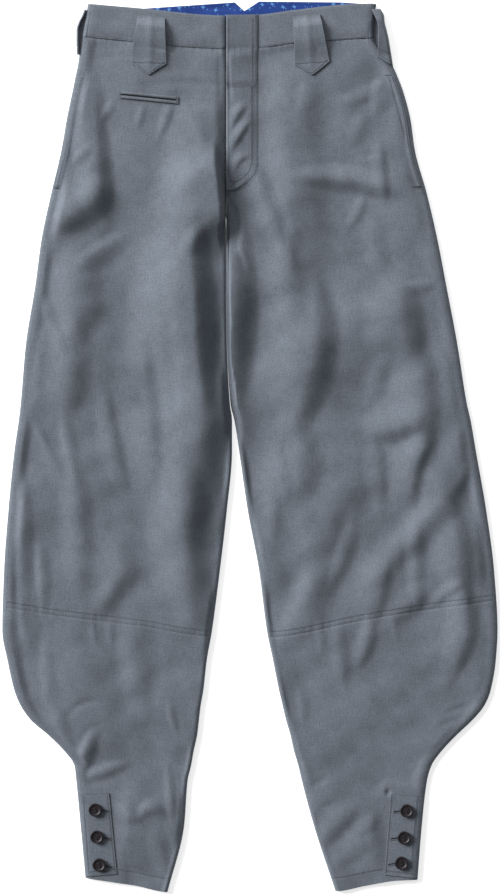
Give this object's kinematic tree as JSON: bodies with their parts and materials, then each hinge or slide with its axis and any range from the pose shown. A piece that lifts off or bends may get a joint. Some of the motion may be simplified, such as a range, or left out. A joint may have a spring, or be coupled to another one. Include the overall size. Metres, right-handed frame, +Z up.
{
  "type": "knickerbockers",
  "caption": "Baggy knickerbockers laid flat, with waistband, pointed belt loops, fly, welt and side pockets, knee seams and buttoned ankle plackets.",
  "frame": {"origin": "on the floor under the middle of the garment's outline", "axes": "+Z up, out of the garment's front; +Y to the waist; +X to the wearer's left"},
  "size_m": [0.5689, 1.023, 0.019],
  "materials": {
    "cloth": "matte grey twill, slightly heathered",
    "lining": "smooth printed blue cotton",
    "button": "dark brown moulded resin, satin"
  },
  "bodies": {
    "root": {"front_right_upper": "cloth", "front_right_calf": "cloth", "back_right_upper": "cloth", "back_right_calf": "cloth", "waistband_front_right": "cloth", "belt_loop_front_right": "cloth", "belt_loop_side_right": "cloth", "side_pocket_welt_right": "cloth", "ankle_placket_right": "cloth", "front_left_upper": "cloth", "front_left_calf": "cloth", "back_left_upper": "cloth", "back_left_calf": "cloth", "waistband_front_left": "cloth", "belt_loop_front_left": "cloth", "belt_loop_side_left": "cloth", "side_pocket_welt_left": "cloth", "ankle_placket_left": "cloth", "waistband_back": "cloth", "fly_placket": "cloth", "welt_pocket_upper_welt": "cloth", "welt_pocket_lower_welt": "cloth", "waistband_back_lining": "lining", "button_right_1": "button", "button_right_2": "button", "button_right_3": "button", "button_left_1": "button", "button_left_2": "button", "button_left_3": "button"}
  },
  "joints": []
}
